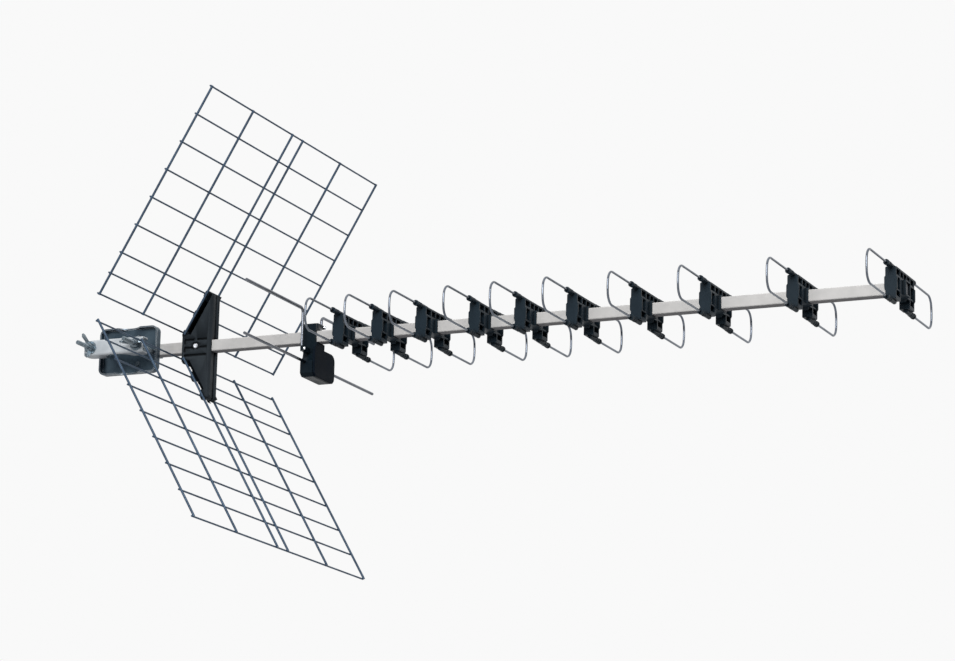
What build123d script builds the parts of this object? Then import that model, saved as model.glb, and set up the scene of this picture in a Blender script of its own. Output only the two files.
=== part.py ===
from build123d import *
import os
from math import asin, cos, degrees, radians, sin

os.makedirs("parts", exist_ok=True)

# UHF television antenna: a square boom that carries a V-shaped mesh reflector, a full-wave
# dipole on a connection box and ten directors bent from wire, with a two-bolt mast clamp.
# Frame in millimetres: X forward along the boom, Y across it, Z up.
# The origin is on the axis of the mast, at the height of the boom.

# Mast clamp
mast_d = 45.0
mast_gap = 0.3
clamp_sheet = 2.0
pan_length = 91.0
pan_height = 66.0
pan_depth = 10.3
pan_corner = 9.0
bolt_x = 36.0
bolt_z = -3.0
bolt_d = 6.0
bolt_clearance = 0.6
bolt_head_across = 10.0
bolt_head_height = 4.0
bolt_proud = 36.0
bolt_tip_chamfer = 0.8
saddle_gap = 1.0
saddle_depth = 20.0
saddle_height = 22.0
saddle_length = 92.0
saddle_bend = 3.0
saddle_end_round = 8.0
saddle_slot = 12.0
edge_band = 0.1
washer_d = 18.0
washer_t = 1.6
nut_hub_d = 12.5
nut_hub_top_d = 10.0
nut_height = 8.0
wing_t = 2.4
wing_reach = 16.5
wing_rise = 14.0
wing_foot = 0.64
wing_root = 1.0
wing_shoulder = 9.8
wing_tip_out = 1.5
wing_tip_rise = 0.5
wing_crest_in = 4.0
wing_crest_rise = 2.5
wing_tip_round = 1.0
left_wing_tilt = 104.0
right_wing_tilt = -4.0
keeper_x = 12.0
keeper_width = 34.0
keeper_sheet = 1.6
keeper_reach = 26.0
keeper_rivet_z = 19.0
rivet_d = 4.0
rivet_head_d = 8.0
rivet_head_height = 2.0
rivet_taper = 32.0

# Boom
boom_side = 16.0
boom_wall = 1.5
boom_corner = 1.6
boom_rear_x = -44.0
boom_play = 0.15
cap_flange = 1.2
cap_depth = 4.0
cap_wall = 1.2
cap_play = 0.05
boom_y = mast_d / 2 + mast_gap + clamp_sheet + boom_side / 2
boom_mid = Plane.XZ.offset(-boom_y)
boom_half = boom_side / 2
boom_hole = boom_side + 2 * boom_play

# Mesh reflector
reflector_x = 88.0
reflector_width = 500.0
panel_angle = 30.0
inner_edge_z = 17.8
small_cell = 31.0
large_cell = 41.7
long_wire_d = 3.2
cross_wire_d = 2.4
weld_sink = 0.5
wire_poke = 1.4
long_wire_spread = 132.7
twin_wire_spread = 15.6

# Reflector bracket
bracket_half_width = 12.2
bracket_wall = 3.0
bracket_rear = 5.6
bracket_rear_top = 20.5
bracket_shoulder_x = -3.2
bracket_shoulder_z = 24.0
bracket_front = 39.0
bracket_front_top = 73.6
bracket_front_round = 3.5
bracket_slope_n = 4.5
bracket_tip_x = 33.0
bracket_tip_z = 76.4
bracket_screw_x = 15.5
bracket_screw_d = 4.0
bracket_screw_head_d = 7.0
bracket_screw_head_height = 2.4
bracket_screw_rim = 0.8
cross_slot = 1.0
bracket_recess_d = 8.4
bracket_recess_depth = 1.0
bracket_nut_across = 7.0
bracket_nut_height = 3.2
groove_w = 2.2
groove_depth = 1.6
groove_rear = -2.2
groove_front = 33.0
groove_z = [9.0, -2.2, -13.0]
groove_gap = 4.0
groove_fall = 5.0
split_groove = 2.0
hook_width = 6.0
hook_below = 9.5
hook_above = 5.5
hook_reach = 5.2
hook_nose = 3.5
clip_play = 0.15

# Dipole
dipole_from_reflector = 188.6
dipole_x = reflector_x + dipole_from_reflector
dipole_rod_d = 4.0
dipole_half_span = 193.0
dipole_half_gap = 28.0
dipole_top_z = 36.0
dipole_bottom_z = -36.5
dipole_bend = 7.0
lower_rod_near_end = -9.0
lower_rod_far_end = 36.0
rod_play = 0.15

# Connection box under the boom
box_behind = 6.3
box_ahead = 12.0
box_rear = dipole_x - box_behind
box_front = dipole_x + box_ahead
box_floor_z = -57.0
box_near_v = -18.7
box_near_top = -36.0
box_far_v = 43.5
box_far_top = -16.3
box_near_chamfer = 5.0
box_far_round = 8.5
box_shoulder = 10.5
box_wall = 2.0
neck_bottom = -21.0
neck_sag = 1.8
rod_cover = 0.6
block_front = dipole_x + dipole_rod_d / 2 + rod_cover
cavity_near_top = -38.0
cavity_top = -19.5
cover_t = 3.0
cover_near_v = -17.9
cover_neck_z = -16.3
cover_edge = 0.8
flap_t = 3.3
flap_top = 17.8
strap_t = 3.6
post_half = 5.0
lug_z_near = -20.5
lug_z_far = 21.0
lug_height_near = 7.0
lug_height_far = 4.0
lug_screw_d = 3.0
lug_screw_head_d = 5.0
lug_screw_head_height = 1.8
lug_screw_taper = 20.0
lug_margin = 3.6
lug_end = dipole_half_gap + lug_margin
lug_round = 1.6
board_t = 1.6
board_near_v = -10.0
board_far_v = 37.0
board_top = -24.0
board_bottom = -53.0
board_corner = 1.0
core_d = 9.2
core_bore = 4.0
core_height = 4.5
core_spread = 24.0
core_v = 8.0
core_z = -47.0
strip_t = 0.8
strip_w = 3.6
strip_foot = 4.0
socket_z = -30.0
socket_v = 29.0
socket_thread_d = 9.4
socket_length = 11.0
socket_hex_across = 11.0
socket_hex_t = 2.5
socket_bore = 5.0
socket_bore_depth = 8.0
socket_pin_d = 1.0
socket_lead = 0.5

# Directors
director_from_reflector = [248.0, 306.0, 371.0, 449.0, 515.0, 589.0, 679.0, 774.5, 893.0, 1023.0]
director_x = [reflector_x + d for d in director_from_reflector]
director_rod_d = 3.0
director_half_span = 136.6
director_half_height = 22.0
director_corner = 15.0
director_bulge = 55.0
rod_end_v = 24.5

# Director holder
holder_t = 14.0
holder_half = 39.0
holder_half_height = 21.0
holder_round = 2.0
holder_strap = 2.0
holder_notch = 19.5
window_inner = 22.0
window_outer = 36.4
window_bottom = -7.0
window_top = 8.5
pocket_depth = 5.4
pocket_bottom = 11.0
pocket_top = 18.6
pocket_rib = 1.6
side_pocket_z = -12.9
collar_t = 1.9
collar_half_length = 11.0
cheek_t = 2.6
cheek_half = 6.0
cheek_bulge = 8.4
cheek_bulge_half = 7.5
cheek_ramp_top = 10.5
cheek_ramp_bottom = -12.0
barrel_d = 6.4
barrel_end_v = 57.0
barrel_start_v = 30.0
barrel_lip_d = 7.8
barrel_lip = 3.2
wire_play = 0.05
cut_past = 1.0

boom_front_x = director_x[-1] + holder_t / 2


def save(piece, name):
    """Label a finished piece and write its file."""
    piece.part.label = name
    export_step(piece.part, f"parts/{name}.step")


def far_side_of(piece):
    """Mirror a near-side piece across the middle plane of the boom."""
    with BuildPart() as far_piece:
        mirror(piece.part, about=boom_mid)
    return far_piece


def across_boom(x):
    """Plane square to the boom at x, with its origin on the boom's axis."""
    return Plane(origin=(x, boom_y, 0), x_dir=(0, 1, 0), z_dir=(1, 0, 0))


# Mast clamp: pressed pan between the mast and the boom
pan_back_y = boom_y - boom_half
pan_floor_y = pan_back_y - clamp_sheet
with BuildPart() as clamp_pan:
    with BuildSketch(Plane.XZ.offset(-pan_back_y)):
        RectangleRounded(pan_length, pan_height, pan_corner)
    extrude(amount=pan_depth)
    with BuildSketch(Plane.XZ.offset(-pan_floor_y)):
        RectangleRounded(pan_length - 2 * clamp_sheet, pan_height - 2 * clamp_sheet, pan_corner - clamp_sheet)
    extrude(amount=pan_depth, mode=Mode.SUBTRACT)
    Cylinder(mast_d / 2, pan_height + clamp_sheet, mode=Mode.SUBTRACT)
    with BuildSketch(Plane.XZ.offset(-pan_back_y)):
        with Locations((-bolt_x, bolt_z), (bolt_x, bolt_z)):
            Circle((bolt_d + bolt_clearance) / 2)
        with Locations((keeper_x, keeper_rivet_z), (keeper_x, -keeper_rivet_z)):
            Circle(rivet_d / 2)
    extrude(amount=pan_depth, mode=Mode.SUBTRACT)
save(clamp_pan, "clamp_pan")

# Mast clamp: channel saddle on the other side of the mast, notched to the mast's round
saddle_inner_y = -(mast_d / 2 + saddle_gap)
saddle_outer_y = saddle_inner_y - clamp_sheet
saddle_hollow = saddle_height - 2 * clamp_sheet
with BuildPart() as clamp_saddle:
    with BuildSketch(Plane.YZ.offset(-saddle_length / 2)) as channel:
        with Locations((saddle_outer_y, bolt_z)):
            Rectangle(saddle_depth, saddle_height, align=(Align.MIN, Align.CENTER))
        with Locations((saddle_inner_y, bolt_z)):
            Rectangle(saddle_depth, saddle_hollow, align=(Align.MIN, Align.CENTER), mode=Mode.SUBTRACT)
        fillet(channel.vertices().group_by(Axis.X)[0], radius=saddle_bend)
        band = (saddle_inner_y - edge_band, saddle_inner_y + edge_band)
        inner = channel.vertices().filter_by_position(Axis.X, *band)
        fillet(inner, radius=saddle_bend - clamp_sheet)
    extrude(amount=saddle_length)
    lips = clamp_saddle.faces().filter_by(Axis.Y).group_by(Axis.Y)[-1]
    fillet(lips.edges().filter_by(Axis.Z), radius=saddle_end_round)
    Cylinder(mast_d / 2, 2 * saddle_height, mode=Mode.SUBTRACT)
    with BuildSketch(Plane.XZ.offset(-saddle_inner_y)):
        with Locations((-bolt_x, bolt_z), (bolt_x, bolt_z)):
            SlotOverall(saddle_slot, bolt_d + bolt_clearance)
    extrude(amount=2 * clamp_sheet, mode=Mode.SUBTRACT)
save(clamp_saddle, "clamp_saddle")

# Mast clamp: two bolts through boom, pan and saddle, with washers and wing nuts
bolt_head_y = boom_y + boom_half
washer_y = saddle_outer_y
nut_y = washer_y - washer_t
bolt_tip_y = saddle_outer_y - bolt_proud
with BuildPart() as clamp_bolts:
    with BuildSketch(Plane.XZ.offset(-bolt_head_y)):
        with Locations((-bolt_x, bolt_z), (bolt_x, bolt_z)):
            RegularPolygon(bolt_head_across / 2, 6, major_radius=False)
    extrude(amount=-bolt_head_height)
    with BuildSketch(Plane.XZ.offset(-bolt_head_y)):
        with Locations((-bolt_x, bolt_z), (bolt_x, bolt_z)):
            Circle(bolt_d / 2)
    extrude(amount=bolt_head_y - bolt_tip_y)
    tips = clamp_bolts.edges().filter_by(GeomType.CIRCLE).group_by(Axis.Y)[0]
    chamfer(tips, length=bolt_tip_chamfer)
save(clamp_bolts, "clamp_bolts")

with BuildPart() as clamp_washers:
    with BuildSketch(Plane.XZ.offset(-washer_y)):
        with Locations((-bolt_x, bolt_z), (bolt_x, bolt_z)):
            Circle(washer_d / 2)
            Circle((bolt_d + bolt_clearance) / 2, mode=Mode.SUBTRACT)
    extrude(amount=washer_t)
save(clamp_washers, "clamp_washers")


def wing_nut(x, tilt):
    """Wing nut on the bolt at x, its wings turned by tilt degrees from the X axis."""
    reach = Vector(cos(radians(tilt)), 0, sin(radians(tilt)))
    outward = Vector(0, -1, 0)
    seat = Vector(x, nut_y, bolt_z)
    with BuildPart() as nut:
        with BuildSketch(Plane(origin=seat, x_dir=reach, z_dir=outward)):
            Circle(nut_hub_d / 2)
        with BuildSketch(Plane(origin=seat + outward * nut_height, x_dir=reach, z_dir=outward)):
            Circle(nut_hub_top_d / 2)
        loft()
        with BuildSketch(Plane(origin=seat, x_dir=reach, z_dir=reach.cross(outward))) as wing:
            with BuildLine():
                Polyline(
                    (0, wing_foot),
                    (nut_hub_d / 2 + wing_root, wing_foot),
                    (wing_reach, wing_shoulder),
                    (wing_reach + wing_tip_out, wing_rise + wing_tip_rise),
                    (wing_reach - wing_crest_in, wing_rise + wing_crest_rise),
                    (nut_hub_top_d / 2 + wing_tip_out, nut_height),
                    (0, nut_height),
                    close=True,
                )
            make_face()
            fillet(wing.vertices().sort_by(Axis.X)[-3:], radius=wing_tip_round)
        extrude(amount=wing_t / 2, both=True)
        mirror(about=Plane(origin=seat, z_dir=reach))
        with BuildSketch(Plane(origin=seat, x_dir=reach, z_dir=outward)):
            Circle(bolt_d / 2)
        extrude(amount=nut_height, mode=Mode.SUBTRACT)
    return nut


with BuildPart() as clamp_wing_nuts:
    add(wing_nut(-bolt_x, left_wing_tilt).part)
    add(wing_nut(bolt_x, right_wing_tilt).part)
save(clamp_wing_nuts, "clamp_wing_nuts")

# Keeper: pressed hat section that holds the boom on the back of the pan, with two rivets
keeper_half = boom_half + boom_play + keeper_sheet
with BuildPart() as boom_keeper:
    with BuildSketch(Plane.YZ.offset(keeper_x - keeper_width / 2)):
        with Locations((pan_back_y, 0)):
            Rectangle(keeper_sheet, 2 * keeper_reach, align=(Align.MIN, Align.CENTER))
            Rectangle(boom_side + boom_play + keeper_sheet, 2 * keeper_half, align=(Align.MIN, Align.CENTER))
            Rectangle(boom_side + boom_play, boom_hole, align=(Align.MIN, Align.CENTER), mode=Mode.SUBTRACT)
    extrude(amount=keeper_width)
    crown = boom_keeper.edges().filter_by(Axis.X).group_by(Axis.Y)[-1]
    fillet(crown, radius=keeper_sheet)
    with BuildSketch(Plane.XZ.offset(-pan_back_y)):
        with Locations((keeper_x, keeper_rivet_z), (keeper_x, -keeper_rivet_z)):
            Circle(rivet_d / 2)
    extrude(amount=-keeper_sheet, mode=Mode.SUBTRACT)
save(boom_keeper, "boom_keeper")

with BuildPart() as keeper_rivets:
    with BuildSketch(Plane.XZ.offset(-(pan_back_y + keeper_sheet))):
        with Locations((keeper_x, keeper_rivet_z), (keeper_x, -keeper_rivet_z)):
            Circle(rivet_d / 2)
    extrude(amount=clamp_sheet + keeper_sheet)
    with BuildSketch(Plane.XZ.offset(-pan_floor_y)):
        with Locations((keeper_x, keeper_rivet_z), (keeper_x, -keeper_rivet_z)):
            Circle(rivet_head_d / 2)
    extrude(amount=rivet_head_height, taper=rivet_taper)
    with BuildSketch(Plane.XZ.offset(-(pan_back_y + keeper_sheet))):
        with Locations((keeper_x, keeper_rivet_z), (keeper_x, -keeper_rivet_z)):
            Circle(rivet_head_d / 2)
    extrude(amount=-rivet_head_height, taper=rivet_taper)
save(keeper_rivets, "keeper_rivets")

# Boom: square tube with holes for the clamp bolts and the bracket screw
bracket_screw_at = reflector_x + bracket_screw_x
with BuildPart() as boom_tube:
    with BuildSketch(across_boom(boom_rear_x)):
        RectangleRounded(boom_side, boom_side, boom_corner)
        Rectangle(boom_side - 2 * boom_wall, boom_side - 2 * boom_wall, mode=Mode.SUBTRACT)
    extrude(amount=boom_front_x - boom_rear_x)
    with BuildSketch(Plane.XZ.offset(-(boom_y + boom_half))):
        with Locations((-bolt_x, bolt_z), (bolt_x, bolt_z)):
            Circle((bolt_d + bolt_clearance) / 2)
        with Locations((bracket_screw_at, 0)):
            Circle((bracket_screw_d + bolt_clearance) / 2)
    extrude(amount=boom_side, mode=Mode.SUBTRACT)
save(boom_tube, "boom_tube")


def boom_cap(x, outward):
    """Push-in plug for the boom's end at x; outward is 1 at the front and -1 at the rear."""
    plug = boom_side - 2 * boom_wall - 2 * cap_play
    with BuildPart() as cap:
        with BuildSketch(across_boom(x)):
            RectangleRounded(boom_side, boom_side, boom_corner)
        extrude(amount=outward * cap_flange)
        with BuildSketch(across_boom(x)):
            Rectangle(plug, plug)
            Rectangle(plug - 2 * cap_wall, plug - 2 * cap_wall, mode=Mode.SUBTRACT)
        extrude(amount=-outward * cap_depth)
    return cap


save(boom_cap(boom_rear_x, -1), "boom_cap_rear")
save(boom_cap(boom_front_x, 1), "boom_cap_front")

# Mesh reflector: two welded wire panels that meet the bracket at their inner edges
slope_sin = sin(radians(panel_angle))
slope_cos = cos(radians(panel_angle))
upper_panel = Plane(
    origin=(reflector_x, boom_y, inner_edge_z),
    x_dir=(0, 1, 0),
    z_dir=(slope_cos, 0, -slope_sin),
)
lower_panel = Plane(
    origin=(reflector_x, boom_y, -inner_edge_z),
    x_dir=(0, -1, 0),
    z_dir=(slope_cos, 0, slope_sin),
)
cross_s = [0.0, small_cell, 2 * small_cell] + [2 * small_cell + large_cell * i for i in range(1, 7)]
panel_length = cross_s[-1]
long_y = [-reflector_width / 2, -long_wire_spread, -twin_wire_spread]
long_y += [-y for y in reversed(long_y)]
cross_drop = -(long_wire_d + cross_wire_d) / 2 + weld_sink


def mesh_panel(plane):
    """Welded mesh in the given plane: six long wires with nine cross wires behind them."""
    with BuildPart(plane) as mesh:
        with Locations(*[(y, panel_length / 2, 0) for y in long_y]):
            Cylinder(long_wire_d / 2, panel_length + 2 * wire_poke, rotation=(90, 0, 0))
        with Locations(*[(0, s, cross_drop) for s in cross_s]):
            Cylinder(cross_wire_d / 2, reflector_width + 2 * wire_poke, rotation=(0, 90, 0))
    return mesh


save(mesh_panel(upper_panel), "reflector_mesh_upper")
save(mesh_panel(lower_panel), "reflector_mesh_lower")


# Reflector bracket: two moulded halves, screwed together through the boom
def on_slope(s, n):
    """Point of the side plate at s along the upper panel and n in front of its long wires."""
    return (s * slope_sin + n * slope_cos, inner_edge_z + s * slope_cos - n * slope_sin)


bracket_quarter = [
    (-bracket_rear, 0),
    (-bracket_rear, bracket_rear_top),
    (bracket_shoulder_x, bracket_shoulder_z),
    on_slope(hook_above, 0),
    on_slope(hook_above, bracket_slope_n),
    on_slope(cross_s[2] - hook_below, bracket_slope_n),
    on_slope(cross_s[2] - hook_below, 0),
    (bracket_tip_x, bracket_tip_z),
    (bracket_front, bracket_front_top),
    (bracket_front, 0),
]
bracket_plane = Plane(origin=(reflector_x, boom_y, 0), x_dir=(1, 0, 0), z_dir=(0, -1, 0))
wire_slot = cross_wire_d + 2 * clip_play
plate_middle = (groove_front + groove_rear) / 2
with BuildPart() as reflector_bracket_near:
    with BuildSketch(bracket_plane) as side_outline:
        with BuildLine():
            Polyline(*bracket_quarter)
            Polyline(*[(x, -z) for x, z in bracket_quarter])
        make_face()
    extrude(amount=bracket_half_width)
    front_edges = reflector_bracket_near.edges().filter_by(Axis.Z).group_by(Axis.X)[-1].group_by(Axis.Y)[0]
    fillet(front_edges, radius=bracket_front_round)
    with BuildSketch(bracket_plane):
        add(side_outline.sketch_local)
        offset(amount=-bracket_wall, kind=Kind.INTERSECTION, mode=Mode.REPLACE)
        Rectangle(2 * (bracket_front + bracket_rear), boom_hole + 2 * bracket_wall, mode=Mode.SUBTRACT)
    extrude(amount=bracket_half_width - bracket_wall, mode=Mode.SUBTRACT)
    for plane in (upper_panel, lower_panel):
        towards_near = -plane.x_dir.Y
        hook_side = Plane(
            origin=plane.from_local_coords((towards_near * bracket_half_width, 0, 0)),
            x_dir=plane.y_dir,
            z_dir=(0, 1, 0),
        )
        forward = 1 if hook_side.y_dir.dot(plane.z_dir) > 0 else -1
        for s in cross_s[:3]:
            with BuildSketch(hook_side):
                Polygon(
                    (s - hook_below, forward * (bracket_slope_n + bracket_wall)),
                    (s - hook_below, 0),
                    (s - hook_nose, -forward * hook_reach),
                    (s + hook_nose, -forward * hook_reach),
                    (s + hook_above, -forward * hook_nose),
                    (s + hook_above, forward * (bracket_slope_n + bracket_wall)),
                    align=None,
                )
            extrude(amount=hook_width)
            with BuildSketch(hook_side):
                with Locations((s + hook_above, forward * cross_drop)):
                    SlotOverall(2 * hook_above + wire_slot, wire_slot)
            extrude(amount=bracket_half_width, mode=Mode.SUBTRACT)
    with BuildSketch(bracket_plane):
        Rectangle(4 * bracket_front, boom_hole)
    extrude(amount=boom_hole / 2, mode=Mode.SUBTRACT)
    with BuildSketch(bracket_plane.offset(bracket_half_width - groove_depth)):
        for z in groove_z:
            with Locations((plate_middle, z)):
                Rectangle(groove_front - groove_rear, groove_w)
        for z in groove_z[:2]:
            with Locations((groove_rear + groove_w / 2, z + groove_w / 2)):
                Rectangle(groove_w, groove_fall + groove_w, align=(Align.CENTER, Align.MAX))
        with Locations((bracket_screw_x, 0)):
            Circle(bracket_recess_d / 2 + groove_w)
            Rectangle(groove_gap, 2 * groove_z[0] + 2 * groove_w, mode=Mode.SUBTRACT)
            Circle(bracket_recess_d / 2, mode=Mode.SUBTRACT)
    extrude(amount=groove_depth, mode=Mode.SUBTRACT)
    with BuildSketch(bracket_plane):
        with Locations((bracket_front, 0)):
            Rectangle(2 * split_groove, 4 * bracket_front_top)
    extrude(amount=split_groove, mode=Mode.SUBTRACT)
    with BuildSketch(bracket_plane):
        with Locations((bracket_screw_x, 0)):
            Circle((bracket_screw_d + bolt_clearance) / 2)
    extrude(amount=bracket_half_width, mode=Mode.SUBTRACT)
    with BuildSketch(bracket_plane.offset(bracket_half_width - bracket_recess_depth)):
        with Locations((bracket_screw_x, 0)):
            Circle(bracket_recess_d / 2)
    extrude(amount=bracket_recess_depth, mode=Mode.SUBTRACT)
save(reflector_bracket_near, "reflector_bracket_near")
save(far_side_of(reflector_bracket_near), "reflector_bracket_far")

# Screw and nut of the reflector bracket
screw_seat = bracket_half_width - bracket_recess_depth
screw_plane = Plane(origin=(bracket_screw_at, boom_y, 0), x_dir=(1, 0, 0), z_dir=(0, -1, 0))
with BuildPart() as bracket_screw:
    with BuildSketch(screw_plane.offset(-(screw_seat + bracket_nut_height))):
        Circle(bracket_screw_d / 2)
    extrude(amount=2 * screw_seat + bracket_nut_height)
    with BuildSketch(screw_plane.offset(screw_seat)):
        Circle(bracket_screw_head_d / 2)
    extrude(amount=bracket_screw_head_height)
    rim = bracket_screw.edges().filter_by(GeomType.CIRCLE).group_by(Axis.Y)[0]
    chamfer(rim, length=bracket_screw_rim)
    with BuildSketch(screw_plane.offset(screw_seat + bracket_screw_head_height)):
        Rectangle(cross_slot, bracket_screw_d)
        Rectangle(bracket_screw_d, cross_slot)
    extrude(amount=-cross_slot, mode=Mode.SUBTRACT)
save(bracket_screw, "bracket_screw")

with BuildPart() as bracket_nut:
    with BuildSketch(screw_plane.offset(-screw_seat)):
        RegularPolygon(bracket_nut_across / 2, 6, major_radius=False)
        Circle(bracket_screw_d / 2, mode=Mode.SUBTRACT)
    extrude(amount=-bracket_nut_height)
save(bracket_nut, "bracket_nut")


# Dipole: two upper rods that bend down to the box's lugs, and two straight lower rods
def upper_rod(side, foot_z, d):
    """Upper rod on one side (-1 near, 1 far) that ends at foot_z, drawn with diameter d."""
    with BuildPart() as rod:
        with BuildLine(across_boom(dipole_x)) as route:
            FilletPolyline(
                (side * dipole_half_span, dipole_top_z),
                (side * dipole_half_gap, dipole_top_z),
                (side * dipole_half_gap, foot_z),
                radius=dipole_bend,
            )
        with BuildSketch(Plane(origin=route.wire() @ 0, z_dir=route.wire() % 0)):
            Circle(d / 2)
        sweep(path=route.wire())
    return rod


def lower_rod(v_start, v_end, d):
    """Straight lower rod from v_start to v_end, drawn with diameter d."""
    with BuildPart() as rod:
        with BuildSketch(Plane.XZ.offset(-(boom_y + v_end))):
            with Locations((dipole_x, dipole_bottom_z)):
                Circle(d / 2)
        extrude(amount=v_end - v_start)
    return rod


near_foot = lug_z_near - lug_height_near / 2
far_foot = lug_z_far - lug_height_far / 2
save(upper_rod(-1, near_foot, dipole_rod_d), "dipole_rod_near")
save(upper_rod(1, far_foot, dipole_rod_d), "dipole_rod_far")
save(lower_rod(-dipole_half_span, lower_rod_near_end, dipole_rod_d), "dipole_lower_rod_near")
save(lower_rod(lower_rod_far_end, dipole_half_span, dipole_rod_d), "dipole_lower_rod_far")

# Connection box: moulded housing that grips the boom and hangs below it
box_plane = across_boom(box_rear)
under_boom = -boom_half - boom_play
flap_outer = boom_half + boom_play + flap_t
channel_d = dipole_rod_d + 2 * rod_play
near_screw = (-dipole_half_gap, lug_z_near)
far_screw = (dipole_half_gap, lug_z_far)
with BuildPart() as dipole_housing:
    with BuildSketch(box_plane):
        with BuildLine():
            neck = (-flap_outer, neck_bottom)
            brow = (box_near_v, box_near_top)
            heel = (box_near_v + box_near_chamfer, box_floor_z)
            toe = (box_far_v - box_far_round, box_floor_z)
            flank = (box_far_v, box_floor_z + box_far_round)
            cheek = (box_far_v, box_far_top - box_shoulder)
            crown = (box_far_v - box_shoulder, box_far_top)
            Line((-flap_outer, under_boom), neck)
            ThreePointArc(neck, (-flap_outer - neck_sag, (neck_bottom + box_near_top) / 2 - neck_sag), brow)
            Polyline(brow, (box_near_v, box_floor_z + box_near_chamfer), heel, toe)
            RadiusArc(toe, flank, -box_far_round)
            Line(flank, cheek)
            RadiusArc(cheek, crown, -box_shoulder)
            Polyline(crown, (flap_outer, box_far_top), (flap_outer, under_boom), (-flap_outer, under_boom))
        make_face()
    extrude(amount=box_front - box_rear)
    with BuildSketch(box_plane):
        with Locations((-flap_outer, 0)):
            Rectangle(flap_t, 2 * flap_top, align=(Align.MIN, Align.CENTER))
        with Locations((flap_outer, -flap_top)):
            Rectangle(flap_t, flap_top + boom_half + strap_t, align=(Align.MAX, Align.MIN))
        with Locations((0, boom_half + boom_play)):
            Rectangle(2 * flap_outer, strap_t, align=(Align.CENTER, Align.MIN))
    extrude(amount=box_front - box_rear)
    with BuildSketch(across_boom(dipole_x - post_half)):
        with Locations((flap_outer, 0)):
            Rectangle(flap_t, lug_z_far + lug_height_far / 2, align=(Align.MAX, Align.MIN))
        with Locations((flap_outer - flap_t, lug_z_far)):
            Rectangle(lug_end - flap_outer + flap_t, lug_height_far, align=(Align.MIN, Align.CENTER))
    extrude(amount=2 * post_half)
    with BuildSketch(across_boom(dipole_x - dipole_rod_d / 4)):
        with Locations((-flap_outer + flap_t, lug_z_near)):
            Rectangle(lug_end - flap_outer + flap_t, lug_height_near, align=(Align.MAX, Align.CENTER))
    extrude(amount=dipole_rod_d * 5 / 4)
    lug_tips = dipole_housing.edges().filter_by(Axis.Z).group_by(Axis.Y)
    fillet(lug_tips[0] + lug_tips[-1], radius=lug_round)
    add(upper_rod(-1, near_foot, channel_d).part, mode=Mode.SUBTRACT)
    add(upper_rod(1, far_foot, channel_d).part, mode=Mode.SUBTRACT)
    add(lower_rod(-dipole_half_span, lower_rod_near_end + rod_play, channel_d).part, mode=Mode.SUBTRACT)
    add(lower_rod(lower_rod_far_end - rod_play, dipole_half_span, channel_d).part, mode=Mode.SUBTRACT)
    with BuildSketch(across_boom(dipole_x)):
        with Locations(near_screw, far_screw):
            Circle(lug_screw_d / 2 + rod_play)
    extrude(amount=2 * dipole_rod_d, mode=Mode.SUBTRACT)
    with BuildSketch(across_boom(block_front)):
        with BuildLine():
            Polyline(
                (box_near_v + box_wall, cavity_near_top),
                (box_near_v + box_wall, box_floor_z + box_near_chamfer + box_wall / 2),
                (box_near_v + box_near_chamfer + box_wall / 2, box_floor_z + box_wall),
                (box_far_v - box_far_round, box_floor_z + box_wall),
                (box_far_v - box_wall, box_floor_z + box_far_round),
                (box_far_v - box_wall, box_far_top - box_shoulder - box_wall),
                (box_far_v - box_shoulder, cavity_top),
                (board_near_v, cavity_top),
                close=True,
            )
        make_face()
    extrude(amount=box_front - block_front, mode=Mode.SUBTRACT)
    with BuildSketch(across_boom(dipole_x - dipole_rod_d / 2 - rod_play)):
        for rod_end, inward in ((lower_rod_near_end, 1), (lower_rod_far_end, -1)):
            with Locations((rod_end + inward * strip_t / 2, dipole_bottom_z)):
                Rectangle(strip_t + 2 * rod_play, strip_w + 2 * rod_play)
    extrude(amount=block_front - dipole_x + dipole_rod_d / 2 + rod_play, mode=Mode.SUBTRACT)
    with BuildSketch(box_plane):
        with Locations((socket_v, socket_z)):
            Circle(socket_thread_d / 2 + rod_play)
    extrude(amount=block_front - box_rear, mode=Mode.SUBTRACT)
save(dipole_housing, "dipole_housing")

# Front cover of the connection box
with BuildPart() as dipole_cover:
    with BuildSketch(across_boom(box_front)):
        with BuildLine():
            Polyline(
                (-flap_outer, under_boom),
                (cover_near_v, cover_neck_z),
                (cover_near_v, box_floor_z + box_near_chamfer),
                (cover_near_v + box_near_chamfer, box_floor_z),
                toe,
            )
            RadiusArc(toe, flank, -box_far_round)
            Line(flank, cheek)
            RadiusArc(cheek, crown, -box_shoulder)
            Polyline(crown, (flap_outer, box_far_top), (flap_outer, under_boom), (-flap_outer, under_boom))
        make_face()
    extrude(amount=cover_t)
    front_rim = dipole_cover.faces().sort_by(Axis.X)[-1].edges()
    chamfer(front_rim, length=cover_edge)
save(dipole_cover, "dipole_cover")

# Screws that clamp the two upper rods in the housing's lugs
with BuildPart() as dipole_screws:
    for spot, lug_front in ((near_screw, dipole_x + dipole_rod_d), (far_screw, dipole_x + post_half)):
        shank_start = dipole_x + dipole_rod_d / 2 + rod_play / 2
        with BuildSketch(across_boom(shank_start)):
            with Locations(spot):
                Circle(lug_screw_d / 2)
        extrude(amount=lug_front - shank_start)
        with BuildSketch(across_boom(lug_front)):
            with Locations(spot):
                Circle(lug_screw_head_d / 2)
        extrude(amount=lug_screw_head_height, taper=lug_screw_taper)
save(dipole_screws, "dipole_screws")

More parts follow.
